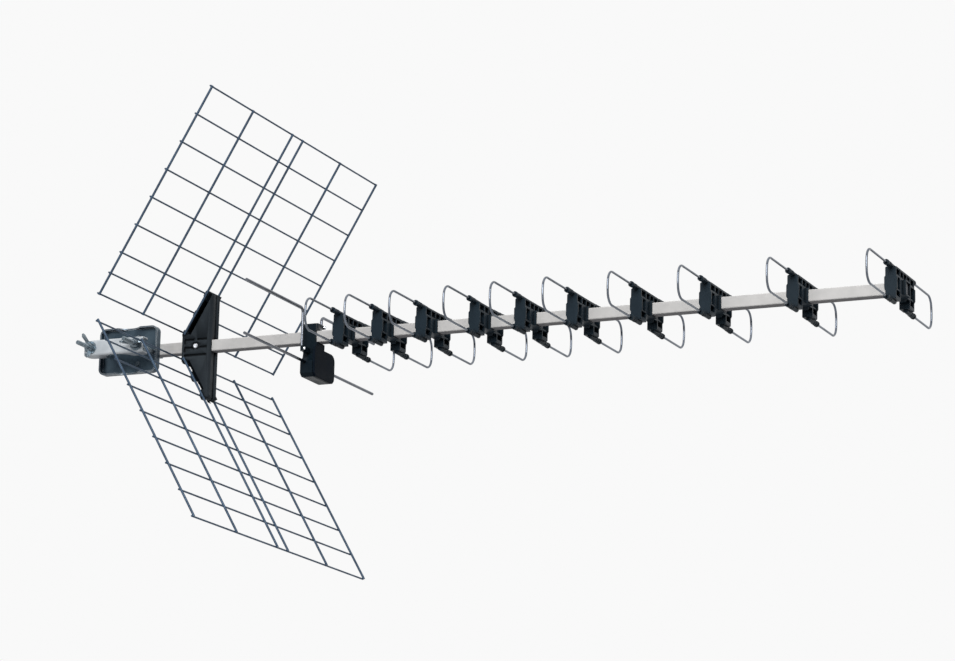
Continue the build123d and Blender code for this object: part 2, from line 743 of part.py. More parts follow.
# Balun board and the two contact strips inside the box
board_x = block_front + strip_t
with BuildPart() as balun_board:
    with BuildSketch(across_boom(board_x)):
        with Locations(((board_near_v + board_far_v) / 2, (board_top + board_bottom) / 2)):
            RectangleRounded(board_far_v - board_near_v, board_top - board_bottom, board_corner)
    extrude(amount=board_t)
    with BuildSketch(across_boom(board_x + board_t)):
        with Locations((core_v, core_z)):
            with GridLocations(core_spread, 0, 2, 1):
                Circle(core_d / 2)
                Circle(core_bore / 2, mode=Mode.SUBTRACT)
    extrude(amount=core_height)
save(balun_board, "balun_board")


def contact_strip(rod_end, inward):
    """Brass strip from the end of a lower rod to the board; inward is 1 near and -1 far."""
    strip_rear = dipole_x - dipole_rod_d / 2
    with BuildPart() as strip:
        with BuildSketch(across_boom(strip_rear)):
            with Locations((rod_end + inward * strip_t / 2, dipole_bottom_z)):
                Rectangle(strip_t, strip_w)
        extrude(amount=board_x - strip_rear)
        with BuildSketch(across_boom(block_front)):
            with Locations((rod_end + inward * strip_foot / 2, dipole_bottom_z)):
                Rectangle(strip_foot, strip_w)
        extrude(amount=strip_t)
    return strip


save(contact_strip(lower_rod_near_end, 1), "contact_strip_near")
save(contact_strip(lower_rod_far_end, -1), "contact_strip_far")

# Coaxial socket on the rear of the box
socket_plane = Plane(origin=(box_rear, boom_y + socket_v, socket_z), x_dir=(0, 1, 0), z_dir=(-1, 0, 0))
with BuildPart() as coax_socket:
    with BuildSketch(socket_plane.offset(-(board_x - box_rear))):
        Circle(socket_thread_d / 2)
    extrude(amount=board_x - box_rear + socket_length)
    with BuildSketch(socket_plane):
        RegularPolygon(socket_hex_across / 2, 6, major_radius=False)
    extrude(amount=socket_hex_t)
    mouth = coax_socket.edges().filter_by(GeomType.CIRCLE).group_by(Axis.X)[0]
    chamfer(mouth, length=socket_lead)
    with BuildSketch(socket_plane.offset(socket_length)):
        Circle(socket_bore / 2)
        Circle(socket_pin_d / 2, mode=Mode.SUBTRACT)
    extrude(amount=-socket_bore_depth, mode=Mode.SUBTRACT)
save(coax_socket, "coax_socket")


# Directors
def director_rod(x, number):
    """Near wire bow of the director at x."""
    bow_angle = degrees(asin((director_half_height - director_corner) / (director_bulge - director_corner)))
    bulge_v = -director_half_span + director_bulge
    corner_v = bulge_v - (director_bulge - director_corner) * cos(radians(bow_angle))
    corner_z = director_half_height - director_corner
    with BuildPart() as rod:
        with BuildLine(across_boom(x)) as route:
            Line((-rod_end_v, director_half_height), (corner_v, director_half_height))
            CenterArc((corner_v, corner_z), director_corner, 90, 90 - bow_angle)
            CenterArc((bulge_v, 0), director_bulge, 180 - bow_angle, 2 * bow_angle)
            CenterArc((corner_v, -corner_z), director_corner, 180 + bow_angle, 90 - bow_angle)
            Line((corner_v, -director_half_height), (-rod_end_v, -director_half_height))
        with BuildSketch(Plane(origin=route.wire() @ 0, z_dir=route.wire() % 0)):
            Circle(director_rod_d / 2)
        sweep(path=route.wire())
    save(rod, f"director_rod_{number:02d}_near")
    save(far_side_of(rod), f"director_rod_{number:02d}_far")


def director_holder(x, number):
    """Moulded holder that grips the boom at x and carries one pair of bows."""
    middle = across_boom(x)
    with BuildPart() as holder:
        with BuildSketch(middle):
            RectangleRounded(2 * holder_half, 2 * holder_half_height, holder_round)
            with Locations((0, -holder_half_height)):
                Rectangle(
                    2 * holder_notch,
                    holder_half_height - boom_hole / 2 - holder_strap,
                    align=(Align.CENTER, Align.MIN),
                    mode=Mode.SUBTRACT,
                )
        extrude(amount=holder_t / 2, both=True)
        for side in (-1, 1):
            with BuildSketch(Plane.XZ.offset(-(boom_y + side * holder_half))):
                with BuildLine():
                    Polyline(
                        (x - cheek_half, holder_half_height),
                        (x - cheek_half, cheek_ramp_top),
                        (x - cheek_bulge, cheek_bulge_half),
                        (x - cheek_bulge, -cheek_bulge_half),
                        (x - cheek_half, cheek_ramp_bottom),
                        (x - cheek_half, -holder_half_height),
                        (x + cheek_half, -holder_half_height),
                        (x + cheek_half, cheek_ramp_bottom),
                        (x + cheek_bulge, -cheek_bulge_half),
                        (x + cheek_bulge, cheek_bulge_half),
                        (x + cheek_half, cheek_ramp_top),
                        (x + cheek_half, holder_half_height),
                        close=True,
                    )
                make_face()
            extrude(amount=side * cheek_t)
        with BuildSketch(middle):
            for side in (-1, 1):
                with Locations((side * (window_inner + window_outer) / 2, (window_top + window_bottom) / 2)):
                    Rectangle(window_outer - window_inner, window_top - window_bottom)
        extrude(amount=holder_t / 2, both=True, mode=Mode.SUBTRACT)
        for face_x, inward in ((x + holder_t / 2, -1), (x - holder_t / 2, 1)):
            with BuildSketch(across_boom(face_x)):
                with GridLocations((2 * holder_notch + pocket_rib) / 3, 0, 3, 1):
                    with Locations((0, (pocket_top + pocket_bottom) / 2)):
                        Rectangle((2 * holder_notch - 2 * pocket_rib) / 3, pocket_top - pocket_bottom)
            extrude(amount=inward * pocket_depth, mode=Mode.SUBTRACT)
            with BuildSketch(across_boom(face_x)):
                for side in (-1, 1):
                    side_v = side * (window_inner + window_outer) / 2
                    with Locations((side_v, side_pocket_z), (side_v, (pocket_top + pocket_bottom) / 2)):
                        Rectangle(window_outer - window_inner, pocket_top - pocket_bottom)
            extrude(amount=inward * pocket_depth, mode=Mode.SUBTRACT)
        with BuildSketch(middle):
            RectangleRounded(boom_hole + 2 * collar_t, boom_hole + 2 * collar_t, boom_corner)
        extrude(amount=collar_half_length, both=True)
        with Locations(
            *[
                (x, boom_y + side * (barrel_start_v + barrel_end_v) / 2, z)
                for side in (-1, 1)
                for z in (director_half_height, -director_half_height)
            ]
        ):
            Cylinder(barrel_d / 2, barrel_end_v - barrel_start_v, rotation=(90, 0, 0))
        with Locations(
            *[
                (x, boom_y + side * (barrel_end_v - barrel_lip / 2), z)
                for side in (-1, 1)
                for z in (director_half_height, -director_half_height)
            ]
        ):
            Cylinder(barrel_lip_d / 2, barrel_lip, rotation=(90, 0, 0))
        with Locations(
            *[
                (x, boom_y + side * (rod_end_v - clip_play + barrel_end_v + cut_past) / 2, z)
                for side in (-1, 1)
                for z in (director_half_height, -director_half_height)
            ]
        ):
            Cylinder(
                director_rod_d / 2 + wire_play,
                barrel_end_v + cut_past - rod_end_v + clip_play,
                rotation=(90, 0, 0),
                mode=Mode.SUBTRACT,
            )
        with BuildSketch(middle):
            Rectangle(boom_hole, boom_hole)
        extrude(amount=collar_half_length, both=True, mode=Mode.SUBTRACT)
    save(holder, f"director_holder_{number:02d}")


for i, place in enumerate(director_x, start=1):
    director_rod(place, i)
    director_holder(place, i)
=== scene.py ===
"""Dresses the UHF television antenna: camera, studio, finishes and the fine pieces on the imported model."""

import logging
import math
from dataclasses import dataclass
from enum import Enum

import bpy
from mathutils import Matrix, Vector


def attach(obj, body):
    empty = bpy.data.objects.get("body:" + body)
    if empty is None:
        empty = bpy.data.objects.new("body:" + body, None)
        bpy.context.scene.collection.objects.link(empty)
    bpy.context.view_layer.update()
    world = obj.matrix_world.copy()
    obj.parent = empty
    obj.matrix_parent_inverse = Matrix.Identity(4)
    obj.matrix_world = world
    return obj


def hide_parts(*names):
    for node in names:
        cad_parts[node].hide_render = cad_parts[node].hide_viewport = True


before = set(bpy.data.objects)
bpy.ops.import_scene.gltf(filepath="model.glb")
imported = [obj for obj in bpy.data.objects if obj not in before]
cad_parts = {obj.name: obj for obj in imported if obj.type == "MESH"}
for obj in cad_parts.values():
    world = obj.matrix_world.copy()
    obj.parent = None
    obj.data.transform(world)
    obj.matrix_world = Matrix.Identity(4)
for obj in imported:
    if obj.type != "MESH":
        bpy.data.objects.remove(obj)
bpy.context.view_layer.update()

Pair = tuple[float, float]
Triple = tuple[float, float, float]
Piece = bpy.types.Object
Node = bpy.types.Node
Socket = bpy.types.NodeSocket
NodeTree = bpy.types.NodeTree
Material = bpy.types.Material
Input = float | Socket

LOG = logging.getLogger("antenna")
MM = 0.001
AXIS_X, AXIS_Y, AXIS_Z = Vector((1, 0, 0)), Vector((0, 1, 0)), Vector((0, 0, 1))

# Places that several sub-assemblies share, in millimetres.
BOOM_Y = 32.8
REFLECTOR_X = 88.0
DIRECTOR_X = (336.0, 394.0, 459.0, 537.0, 603.0, 677.0, 767.0, 862.5, 981.0, 1111.0)

# Input values of the shared surface groups, by socket name.
PLATED_GRAIN = {"Detail": 4.0, "Contrast": 0.5}
DRAWN_GRAIN = {"Stretch": (1.0, 70.0, 70.0), "Scale": 22.0}
MOULDED_GRAIN = {"Detail": 2.0, "Contrast": 0.4}
LACQUER_GRAIN = {"Scale": 700.0, "Detail": 2.0, "Contrast": 0.4}
TARNISH = {"Scale": 55.0, "Detail": 5.0, "Contrast": 0.75}
MOULD_FLOW = {"Scale": 48.0, "Detail": 4.0, "Contrast": 0.7}
METAL_FILM = {"Scale": 90.0, "Amount": 0.35}
PLASTIC_FILM = {"Scale": 120.0, "Amount": 0.4}
# Painted shade in grooves and inner corners: its reach and strength.
HOLLOW_SHADE = {"Distance": 0.006, "Amount": 0.85}
# Painted highlight and wear on outer edges: the reach of the edge mask.
WEAR_AND_HIGHLIGHT_RADIUS = 0.0012

# Colours that are worked out from a finish's own.
METAL_FILM_SHARE = 0.7
# Bright colour of the outer edges, part painted highlight and part wear.
WEAR_AND_HIGHLIGHT_TOP, WEAR_AND_HIGHLIGHT_BASE, WEAR_AND_HIGHLIGHT_SHARE = 0.95, 0.45, 0.9
DUST_SHARE, DUST_BASE = 1.35, 0.004
# Share of a plastic's colour that stays in its painted shade in grooves and corners.
HOLLOW_SHADE_SHARE = 0.05

# Largest angles that are shaded smooth, in degrees.
TRIM_ANGLE, THREAD_ANGLE, PLATE_ANGLE, WELD_ANGLE = 35.0, 30.0, 40.0, 60.0


class Side(Enum):
    """Side of the boom that a piece belongs to; the value is the sign of Y."""

    NEAR = -1
    FAR = 1


class Panel(Enum):
    """Reflector panel; the value is the sign of Z."""

    UPPER = 1
    LOWER = -1


class Pattern(Enum):
    """Surface pattern of a metal."""

    DRAWN = "drawn along X"
    PLATED = "plated"


def rgba(colour: Triple) -> tuple[float, float, float, float]:
    """Return a colour with full opacity."""
    return (*colour, 1.0)


@dataclass
class Graph:
    """A node tree under construction, with short calls for its nodes."""

    tree: NodeTree

    def feed(self, node: Node, inputs: dict[str | int, object]) -> None:
        """Link or set inputs of a node.

        Args:
            node: The node.
            inputs: By name or number, a socket to link or a value to set.
        """
        for label, value in inputs.items():
            if isinstance(value, Socket):
                self.tree.links.new(value, node.inputs[label])
            else:
                node.inputs[label].default_value = value

    def add(self, kind: str, inputs: dict[str | int, object] | None = None, **settings: object) -> Node:
        """Add a shader node.

        Args:
            kind: Its type, without the leading ShaderNode.
            inputs: Sockets to link or values to set, by input name or number.
            settings: Settings of the node itself.

        Returns:
            The new node.
        """
        node = self.tree.nodes.new(f"ShaderNode{kind}")
        for label, value in settings.items():
            setattr(node, label, value)
        self.feed(node, inputs or {})
        return node

    def calc(self, operation: str, *values: Input) -> Socket:
        """Calculate with values or sockets and return the result's socket."""
        return self.add("Math", dict(enumerate(values)), operation=operation).outputs[0]

    def spread(self, value: Socket, start: Input, end: Input, low: Input = 0.0, high: Input = 1.0) -> Socket:
        """Map a range of a socket to another range.

        Args:
            value: The socket.
            start: Its value that becomes the low end.
            end: Its value that becomes the high end.
            low: The low end.
            high: The high end.

        Returns:
            The mapped socket.
        """
        inputs = {"Value": value, "From Min": start, "From Max": end, "To Min": low, "To Max": high}
        return self.add("MapRange", inputs).outputs["Result"]

    def coords(self) -> Socket:
        """Return the Object coordinate socket of a new Texture Coordinate node."""
        return self.add("TexCoord").outputs["Object"]

    def shown(self) -> Socket:
        """Tell the rays that show the surroundings from those that only light the object.

        Returns:
            A socket that is 1 for camera, glossy and transmission rays.
        """
        rays = self.add("LightPath").outputs
        mirrored = self.calc("MAXIMUM", rays["Is Glossy Ray"], rays["Is Transmission Ray"])
        return self.calc("MAXIMUM", rays["Is Camera Ray"], mirrored)


class EffectGroup(Graph):
    """A node group under construction, with float or vector inputs and one float output."""

    def __init__(self, name: str, **defaults: float | Triple) -> None:
        """Make the empty group with its inputs.

        Args:
            name: Name of the group.
            defaults: Default values by input name.
        """
        super().__init__(bpy.data.node_groups.new(name, "ShaderNodeTree"))
        for label, default in defaults.items():
            kind = "NodeSocketFloat" if isinstance(default, float) else "NodeSocketVector"
            socket = self.tree.interface.new_socket(name=label, in_out="INPUT", socket_type=kind)
            socket.default_value = default
        self.given = self.tree.nodes.new("NodeGroupInput").outputs

    def close(self, label: str, socket: Socket) -> NodeTree:
        """Give the group its output.

        Args:
            label: Name of the output.
            socket: Socket in the group that feeds it.

        Returns:
            The finished group.
        """
        self.tree.interface.new_socket(name=label, in_out="OUTPUT", socket_type="NodeSocketFloat")
        self.feed(self.tree.nodes.new("NodeGroupOutput"), {label: socket})
        return self.tree


class SurfaceGroups:
    """Shared surface effects, each built once as a node group."""

    def __init__(self) -> None:
        """Build the five groups."""
        self.mottle = self._mottle()
        self.streaks = self._streaks()
        self.settled = self._settled()
        self.crevice = self._hollow_shade()
        self.rubbed = self._wear_and_highlight()

    @staticmethod
    def _mottle() -> NodeTree:
        """Build soft blotches between 0 and 1 at a given scale.

        Returns:
            A group with the output Value.
        """
        middle, reach, softest = 0.5, 0.35, 1.15
        group = EffectGroup("mottle", Scale=40.0, Detail=3.0, Contrast=0.6)
        inputs = {"Vector": group.coords(), "Scale": group.given["Scale"], "Detail": group.given["Detail"]}
        noise = group.add("TexNoise", inputs)
        soft = group.calc("SUBTRACT", softest, group.given["Contrast"])
        low = group.calc("MULTIPLY_ADD", soft, -reach, middle)
        high = group.calc("MULTIPLY_ADD", soft, reach, middle)
        return group.close("Value", group.spread(noise.outputs["Fac"], low, high))

    @staticmethod
    def _streaks() -> NodeTree:
        """Build fine lines stretched along one axis, as drawing and rolling leave them.

        Returns:
            A group with the output Value.
        """
        group = EffectGroup("streaks", Stretch=(1.0, 60.0, 60.0), Scale=40.0)
        scale = group.add("VectorMath", {0: group.coords(), 1: group.given["Stretch"]}, operation="MULTIPLY")
        inputs = {"Vector": scale.outputs["Vector"], "Scale": group.given["Scale"], "Detail": 4.0}
        return group.close("Value", group.add("TexNoise", inputs).outputs["Fac"])

    @staticmethod
    def _settled() -> NodeTree:
        """Build a patchy mask of what settles on faces that look up.

        Returns:
            A group with the output Mask.
        """
        steepest, thinnest, thickest = -0.2, 0.35, 0.7
        group = EffectGroup("settled", Scale=60.0, Amount=0.5)
        split = group.add("SeparateXYZ", {0: group.add("NewGeometry").outputs["Normal"]})
        facing = group.spread(split.outputs["Z"], steepest, 1.0)
        inputs = {"Vector": group.coords(), "Scale": group.given["Scale"], "Detail": 5.0}
        patch = group.spread(group.add("TexNoise", inputs).outputs["Fac"], thinnest, thickest)
        both = group.calc("MULTIPLY", facing, patch)
        return group.close("Mask", group.calc("MULTIPLY", both, group.given["Amount"]))

    @staticmethod
    def _hollow_shade() -> NodeTree:
        """Build a mask of painted shade in grooves and inner corners.

        Returns:
            A group with the output Mask.
        """
        openest, deepest = 0.86, 0.46
        group = EffectGroup("crevice", Distance=0.006, Amount=0.8)
        hollow = group.add("AmbientOcclusion", {"Distance": group.given["Distance"]}, samples=6)
        mask = group.spread(hollow.outputs["AO"], openest, deepest, high=group.given["Amount"])
        return group.close("Mask", mask)

    @staticmethod
    def _wear_and_highlight() -> NodeTree:
        """Build a mask of the outer edges that are painted bright, part highlight and part wear.

        Returns:
            A group with the output Mask.
        """
        flattest, sharpest = 0.99, 0.88
        group = EffectGroup("rubbed", Radius=0.0012, Amount=0.8)
        rounded = group.add("Bevel", {"Radius": group.given["Radius"]}, samples=6)
        inputs = {0: rounded.outputs["Normal"], 1: group.add("NewGeometry").outputs["True Normal"]}
        dot = group.add("VectorMath", inputs, operation="DOT_PRODUCT")
        mask = group.spread(dot.outputs["Value"], flattest, sharpest, high=group.given["Amount"])
        return group.close("Mask", mask)


class Shader(Graph):
    """One material under construction."""

    def __init__(self, name: str) -> None:
        """Create the material with its Principled shader.

        Args:
            name: Name of the material.
        """
        self.material = bpy.data.materials.new(name)
        self.material.use_nodes = True
        super().__init__(self.material.node_tree)
        self.surface = self.tree.nodes["Principled BSDF"]

    def group(self, tree: NodeTree, **values: object) -> Socket:
        """Place a node group with its input values by name and return its first output."""
        return self.add("Group", values, node_tree=tree).outputs[0]

    def blend(self, factor: Socket, first: Triple | Socket, second: Triple) -> Socket:
        """Mix two colours by a factor socket.

        Args:
            factor: Socket that gives the share of the second colour.
            first: Colour or socket at factor 0.
            second: Colour at factor 1.

        Returns:
            The mixed colour socket.
        """
        start = first if isinstance(first, Socket) else rgba(first)
        return self.add("Mix", {0: factor, 6: start, 7: rgba(second)}, data_type="RGBA").outputs[2]

    def bump(self, height: Socket, depth: float, soften: float = 0.0) -> None:
        """Give the surface relief.

        Args:
            height: Height socket between 0 and 1.
            depth: Depth of the relief in metres.
            soften: Radius in metres by which sharp edges are rounded in the shading.
        """
        node = self.add("Bump", {"Distance": depth, "Height": height})
        if soften > 0.0:
            edge = self.add("Bevel", {"Radius": soften}, samples=4)
            self.feed(node, {"Normal": edge.outputs["Normal"]})
        self.feed(self.surface, {"Normal": node.outputs["Normal"]})


@dataclass(frozen=True)
class MetalFinish:
    """Bare or plated metal, its roughness given as the lowest and the highest."""

    name: str
    colour: Triple
    dull: Triple
    roughness: Pair
    pattern: Pattern = Pattern.PLATED
    metallic: float = 1.0
    relief: float = 0.00002
    grain_scale: float = 650.0
    gloss: float = 0.5
    # Share of the outer edges painted bright, part highlight and part wear.
    rubbed: float = 0.0

    def build(self, groups: SurfaceGroups) -> Material:
        """Make the material.

        Args:
            groups: The shared surface groups.

        Returns:
            The finished material.
        """
        shader = Shader(self.name)
        if self.pattern is Pattern.PLATED:
            grain = shader.group(groups.mottle, Scale=self.grain_scale, **PLATED_GRAIN)
        else:
            grain = shader.group(groups.streaks, **DRAWN_GRAIN)
        base = shader.blend(shader.group(groups.mottle, **TARNISH), self.colour, self.dull)
        film = tuple(METAL_FILM_SHARE * c for c in self.dull)
        colour = shader.blend(shader.group(groups.settled, **METAL_FILM), base, film)
        # Painted highlight with some wear: outer edges turn brighter.
        if self.rubbed > 0.0:
            edges = shader.group(groups.rubbed, Radius=WEAR_AND_HIGHLIGHT_RADIUS, Amount=self.rubbed)
            bright = tuple(min(WEAR_AND_HIGHLIGHT_TOP, WEAR_AND_HIGHLIGHT_BASE + WEAR_AND_HIGHLIGHT_SHARE * c) for c in self.colour)
            colour = shader.blend(edges, colour, bright)
        shader.feed(shader.surface, {
            "Base Color": colour,
            "Roughness": shader.spread(grain, 0.0, 1.0, *self.roughness),
            "Metallic": self.metallic,
            "Specular IOR Level": self.gloss,
        })
        if self.relief > 0.0:
            shader.bump(grain, self.relief)
        return shader.material


@dataclass(frozen=True)
class PlasticFinish:
    """Moulded plastic with a fine eroded texture, dust on top and painted shade in grooves and inner corners.
    """

    name: str
    colour: Triple
    faded: Triple
    roughness: Pair
    relief: float = 0.00004
    grain_scale: float = 1400.0
    edge: float = 0.0005
    gloss: float = 0.2

    def build(self, groups: SurfaceGroups) -> Material:
        """Make the material.

        Args:
            groups: The shared surface groups.

        Returns:
            The finished material.
        """
        shader = Shader(self.name)
        grain = shader.group(groups.mottle, Scale=self.grain_scale, **MOULDED_GRAIN)
        flow = shader.group(groups.mottle, **MOULD_FLOW)
        base = shader.blend(flow, self.colour, self.faded)
        pale = tuple(DUST_SHARE * c + DUST_BASE for c in self.faded)
        dusty = shader.blend(shader.group(groups.settled, **PLASTIC_FILM), base, pale)
        # Painted shade: grooves and inner corners darken to this colour.
        shadow = tuple(HOLLOW_SHADE_SHARE * c for c in self.colour)
        shader.feed(shader.surface, {
            "Base Color": shader.blend(shader.group(groups.crevice, **HOLLOW_SHADE), dusty, shadow),
            "Roughness": shader.spread(flow, 0.0, 1.0, *self.roughness),
            "Specular IOR Level": self.gloss,
        })
        shader.bump(grain, self.relief, self.edge)
        return shader.material


@dataclass(frozen=True)
class BoardFinish:
    """Lacquered circuit board with copper tracks under the lacquer."""

    name: str = "board_lacquer"
    lacquer: Triple = (0.02, 0.12, 0.05)
    track: Triple = (0.05, 0.22, 0.08)
    track_scale: float = 160.0
    roughness: Pair = (0.25, 0.4)
    relief: float = 0.00001

    def build(self, groups: SurfaceGroups) -> Material:
        """Make the material.

        Args:
            groups: The shared surface groups.

        Returns:
            The finished material.
        """
        shader = Shader(self.name)
        brick = shader.add("TexBrick", {
            "Vector": shader.coords(),
            "Scale": self.track_scale,
            "Color1": rgba(self.lacquer),
            "Color2": rgba(self.lacquer),
            "Mortar": rgba(self.track),
        })
        grain = shader.group(groups.mottle, **LACQUER_GRAIN)
        shader.feed(shader.surface, {
            "Base Color": brick.outputs["Color"],
            "Roughness": shader.spread(grain, 0.0, 1.0, *self.roughness),
        })
        shader.bump(grain, self.relief)
        return shader.material


class Finishes:
    """Every finish of the antenna, built once."""

    def __init__(self) -> None:
        """Build the groups and the materials."""
        groups = SurfaceGroups()
        wanted = (
            MetalFinish(
                "boom_extrusion", (0.775, 0.760, 0.740), (0.70, 0.688, 0.672), (0.38, 0.52),
                Pattern.DRAWN, metallic=0.05, relief=0.00003, gloss=0.0,
            ),
            # Painted reflection: the bare aluminium wires get dark colours that stand in for the dark
            # surroundings they mirror.
            MetalFinish(
                "director_wire", (0.180, 0.202, 0.238), (0.120, 0.137, 0.164), (0.12, 0.20),
                relief=0.0, grain_scale=30.0,
            ),
            MetalFinish(
                "dipole_wire", (0.165, 0.178, 0.205), (0.11, 0.12, 0.14), (0.14, 0.24),
                relief=0.0, grain_scale=30.0,
            ),
            # Painted reflection and shade: the steel wire's dark blue stands in for the dark surroundings it
            # mirrors and its shade.
            MetalFinish(
                "reflector_wire", (0.060, 0.100, 0.155), (0.044, 0.070, 0.110), (0.38, 0.58),
                metallic=0.7, relief=0.0, grain_scale=60.0,
            ),
            # Painted shade: the pan's zinc is far darker than the saddle's, for the shade inside the pan.
            MetalFinish(
                "zinc_sheet", (0.070, 0.104, 0.134), (0.038, 0.060, 0.083), (0.24, 0.42),
                metallic=0.6, gloss=0.2, rubbed=0.9,
            ),
            MetalFinish(
                "zinc_channel", (0.73, 0.77, 0.80), (0.59, 0.635, 0.67), (0.30, 0.46),
                Pattern.DRAWN, metallic=0.3, gloss=0.1, rubbed=0.5,
            ),
            MetalFinish(
                "zinc_fastener", (0.20, 0.25, 0.285), (0.085, 0.115, 0.14), (0.18, 0.36),
                metallic=0.8, rubbed=0.3,
            ),
            MetalFinish("bright_screw", (0.72, 0.74, 0.77), (0.52, 0.54, 0.58), (0.12, 0.26)),
            MetalFinish("nickel", (0.58, 0.56, 0.52), (0.40, 0.38, 0.35), (0.14, 0.28)),
            MetalFinish("brass_strip", (0.78, 0.60, 0.28), (0.55, 0.40, 0.17), (0.22, 0.38)),
            PlasticFinish(
                "holder_plastic", (0.0120, 0.0235, 0.0345), (0.0165, 0.0300, 0.0425), (0.36, 0.48), gloss=0.12
            ),
            PlasticFinish(
                "bracket_plastic", (0.033, 0.041, 0.049), (0.040, 0.049, 0.057), (0.46, 0.60), gloss=0.06
            ),
            # Painted shade: the bracket's plastic made near-black for the rims and the band that lie in shade
            # along the slope.
            PlasticFinish(
                "rib_plastic", (0.0025, 0.0035, 0.005), (0.004, 0.0055, 0.008), (0.46, 0.60), gloss=0.01
            ),
            PlasticFinish(
                "box_plastic", (0.005, 0.012, 0.019), (0.009, 0.018, 0.026), (0.28, 0.40), gloss=0.08
            ),
            PlasticFinish(
                "cover_plastic", (0.006, 0.011, 0.018), (0.009, 0.015, 0.024), (0.38, 0.50), gloss=0.02
            ),
            PlasticFinish("cap_plastic", (0.34, 0.35, 0.37), (0.40, 0.41, 0.43), (0.42, 0.56)),
            BoardFinish(),
        )
        self.by_name = {finish.name: finish.build(groups) for finish in wanted}

    def dress(self, piece: Piece, name: str) -> None:
        """Put one finish on a piece.

        Args:
            piece: A new piece or a carried-over node.
            name: The finish's name.
        """
        material = self.by_name[name]
        if not piece.material_slots:
            piece.data.materials.append(material)
        for slot in piece.material_slots:
            slot.material = material
        LOG.info("%s wears %s", piece.name, name)

    def dress_nodes(self, name: str, *nodes: str) -> None:
        """Put one finish on carried-over nodes, given by their names."""
        for node in nodes:
            self.dress(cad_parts[node], name)


class Bench:
    """Short calls for modelling with Blender's own operators, sizes in millimetres."""

    # A thread's ridge and how deep it sits, as shares of its pitch; its steps for each turn.
    RIDGE_SIZE = 0.42
    RIDGE_SINK = 0.2
    THREAD_STEPS = 18
    THREAD_MERGE = 0.000001

    @staticmethod
    def clear() -> None:
        """Deselect everything, so that an operator acts on the next primitive alone."""
        bpy.ops.object.select_all(action="DESELECT")

    @classmethod
    def only(cls, piece: Piece) -> None:
        """Make a piece the only selected one and the active one.

        Args:
            piece: The piece that the next operators act on.
        """
        cls.clear()
        piece.select_set(True)
        bpy.context.view_layer.objects.active = piece

    @staticmethod
    def take(name: str) -> Piece:
        """Name the new primitive and its mesh.

        Args:
            name: The name of both.

        Returns:
            The primitive.
        """
        piece = bpy.context.view_layer.objects.active
        piece.name = piece.data.name = name
        return piece

    @classmethod
    def block(cls, name: str, centre: Triple, size: Triple) -> Piece:
        """Start from a block.

        Args:
            name: Name of the new piece.
            centre: Centre in millimetres.
            size: Lengths along X, Y and Z in millimetres.

        Returns:
            The block, with its size and place in its mesh.
        """
        cls.clear()
        bpy.ops.mesh.primitive_cube_add(size=1.0)
        piece = cls.take(name)
        piece.scale = Vector(size) * MM
        piece.location = Vector(centre) * MM
        return cls.settle(piece)

    @classmethod
    def rod(cls, name: str, centre: Triple, radius: float, length: float, axis: Vector, sides: int) -> Piece:
        """Start from a cylinder.

        Args:
            name: Name of the new piece.
            centre: Centre in millimetres.
            radius: Radius in millimetres.
            length: Length in millimetres.
            axis: Direction of the axis.
            sides: Number of sides.

        Returns:
            The cylinder, with its size and place in its mesh.
        """
        cls.clear()
        bpy.ops.mesh.primitive_cylinder_add(
            vertices=sides, radius=radius * MM, depth=length * MM, end_fill_type="NGON"
        )
        piece = cls.take(name)
        piece.rotation_mode = "QUATERNION"
        piece.rotation_quaternion = AXIS_Z.rotation_difference(axis)
        piece.location = Vector(centre) * MM
        return cls.settle(piece)

    @classmethod
    def settle(cls, piece: Piece) -> Piece:
        """Move a piece's place, turn and size into its mesh.

        Args:
            piece: The piece.

        Returns:
            The same piece, now at the origin, unturned and unscaled.
        """
        cls.only(piece)
        bpy.ops.object.transform_apply(location=True, rotation=True, scale=True)
        return piece

    @staticmethod
    def pick(piece: Piece, normal: Vector, spread: float = 0.9) -> None:
        """Enter edit mode with the faces selected that look along a direction.

        Args:
            piece: The piece to edit.
            normal: Direction that the faces look along.
            spread: Least cosine between a face's normal and the direction.
        """
        bpy.ops.object.mode_set(mode="EDIT")
        bpy.ops.mesh.select_mode(type="FACE")
        bpy.ops.mesh.select_all(action="DESELECT")
        bpy.ops.object.mode_set(mode="OBJECT")
        for face in piece.data.polygons:
            face.select = face.normal.dot(normal) > spread
        bpy.ops.object.mode_set(mode="EDIT")

    @staticmethod
    def done() -> None:
        """Leave edit mode with the normals pointing outward."""
        bpy.ops.mesh.select_all(action="SELECT")
        bpy.ops.mesh.normals_make_consistent(inside=False)
        bpy.ops.object.mode_set(mode="OBJECT")

    @staticmethod
    def modify(piece: Piece, kind: str, **values: object) -> None:
        """Add a modifier and apply it.

        Args:
            piece: The piece to change.
            kind: The modifier's type.
            values: Its settings.
        """
        modifier = piece.modifiers.new(kind.lower(), kind)
        for label, value in values.items():
            setattr(modifier, label, value)
        bpy.context.view_layer.objects.active = piece
        bpy.ops.object.modifier_apply(modifier=modifier.name)

    @classmethod
    def cut(cls, piece: Piece, tool: Piece) -> None:
        """Cut a tool's shape out of a piece and remove the tool."""
        cls.modify(piece, "BOOLEAN", operation="DIFFERENCE", object=tool)
        bpy.data.objects.remove(tool)

    @classmethod
    def join(cls, name: str, pieces: list[Piece]) -> Piece:
        """Join pieces into one.

        Args:
            name: Name of the joined piece.
            pieces: The pieces to join.

        Returns:
            The joined piece.
        """
        cls.clear()
        for piece in pieces:
            piece.select_set(True)
        bpy.context.view_layer.objects.active = pieces[0]
        bpy.ops.object.join()
        return cls.take(name)

    @staticmethod
    def copy(piece: Piece, name: str, move: Matrix) -> Piece:
        """Copy a piece with its own mesh.

        Args:
            piece: The piece to copy.
            name: Name of the copy.
            move: Transform of the copy's mesh, in metres.

        Returns:
            The copy.
        """
        twin = piece.copy()
        twin.data = piece.data.copy()
        twin.data.transform(move)
        if move.determinant() < 0:
            twin.data.flip_normals()
        twin.name = twin.data.name = name
        bpy.context.scene.collection.objects.link(twin)
        return twin

